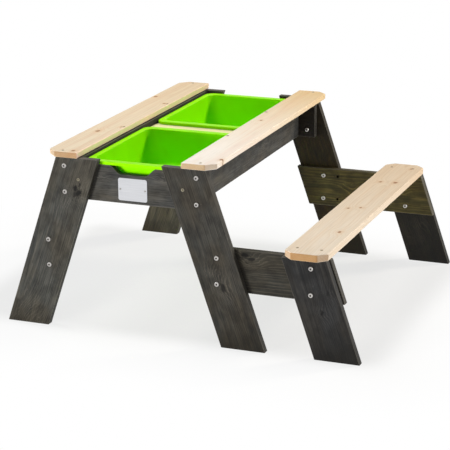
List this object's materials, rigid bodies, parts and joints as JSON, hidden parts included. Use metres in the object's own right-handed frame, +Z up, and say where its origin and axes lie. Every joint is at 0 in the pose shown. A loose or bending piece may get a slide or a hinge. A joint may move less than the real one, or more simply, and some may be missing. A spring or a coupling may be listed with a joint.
{
  "type": "children's picnic table with sandbox",
  "caption": "Child's picnic table with splayed legs, an attached bench on one side and lift-out play tubs hung between the tabletop boards.",
  "frame": {"origin": "middle of the base of the whole object, on the ground, under the centre of its bounding box", "axes": "+Z up; +X across, from the table to the bench; +Y along the tabletop boards, the end with the plate at -Y"},
  "size_m": [1.023, 0.96, 0.5],
  "materials": {
    "stained_timber": "grey-black stain over open softwood grain, matt",
    "pale_timber": "planed unpainted pine or spruce with small knots, satin",
    "green_plastic": "moulded plastic, smooth with a soft gloss",
    "plate_metal": "brushed, bare",
    "bolt_metal": "bright zinc plated",
    "screw_metal": "yellow zinc plated, dull"
  },
  "bodies": {
    "frame": {"leg_near_left": "stained_timber", "leg_near_right": "stained_timber", "bench_leg_near": "stained_timber", "bench_rail_near": "stained_timber", "crosspiece_near": "stained_timber", "leg_far_left": "stained_timber", "leg_far_right": "stained_timber", "bench_leg_far": "stained_timber", "bench_rail_far": "stained_timber", "crosspiece_far": "stained_timber", "apron_left": "stained_timber", "apron_right": "stained_timber", "tabletop_left": "pale_timber", "tabletop_right": "pale_timber", "bench_seat": "pale_timber", "tub_batten": "pale_timber", "end_plate": "plate_metal", "plate_screw_left": "bolt_metal", "plate_screw_right": "bolt_metal", "bolt_near_left_upper_1": "bolt_metal", "bolt_near_left_upper_2": "bolt_metal", "bolt_near_left_lower_1": "bolt_metal", "bolt_near_left_lower_2": "bolt_metal", "bolt_near_right_upper_1": "bolt_metal", "bolt_near_right_upper_2": "bolt_metal", "bolt_near_right_lower_1": "bolt_metal", "bolt_near_right_lower_2": "bolt_metal", "bolt_near_bench_1": "bolt_metal", "bolt_near_bench_2": "bolt_metal", "frame_screw_near_left": "screw_metal", "top_screw_near_left_end": "screw_metal", "top_screw_near_left_row": "screw_metal", "seat_screw_near_left": "screw_metal", "frame_screw_near_right": "screw_metal", "top_screw_near_right_end": "screw_metal", "top_screw_near_right_row": "screw_metal", "seat_screw_near_right": "screw_metal", "bolt_far_left_upper_1": "bolt_metal", "bolt_far_left_upper_2": "bolt_metal", "bolt_far_left_lower_1": "bolt_metal", "bolt_far_left_lower_2": "bolt_metal", "bolt_far_right_upper_1": "bolt_metal", "bolt_far_right_upper_2": "bolt_metal", "bolt_far_right_lower_1": "bolt_metal", "bolt_far_right_lower_2": "bolt_metal", "bolt_far_bench_1": "bolt_metal", "bolt_far_bench_2": "bolt_metal", "frame_screw_far_left": "screw_metal", "top_screw_far_left_end": "screw_metal", "top_screw_far_left_row": "screw_metal", "seat_screw_far_left": "screw_metal", "frame_screw_far_right": "screw_metal", "top_screw_far_right_end": "screw_metal", "top_screw_far_right_row": "screw_metal", "seat_screw_far_right": "screw_metal"},
    "tub_near": {"tub_near": "green_plastic"},
    "tub_far": {"tub_far": "green_plastic"}
  },
  "joints": [
    {"name": "tub_near_lift", "type": "slide", "parent": "frame", "child": "tub_near", "axis": [0, 0, 1], "range_m": [0, 0.15]},
    {"name": "tub_far_lift", "type": "slide", "parent": "frame", "child": "tub_far", "axis": [0, 0, 1], "range_m": [0, 0.15]}
  ]
}
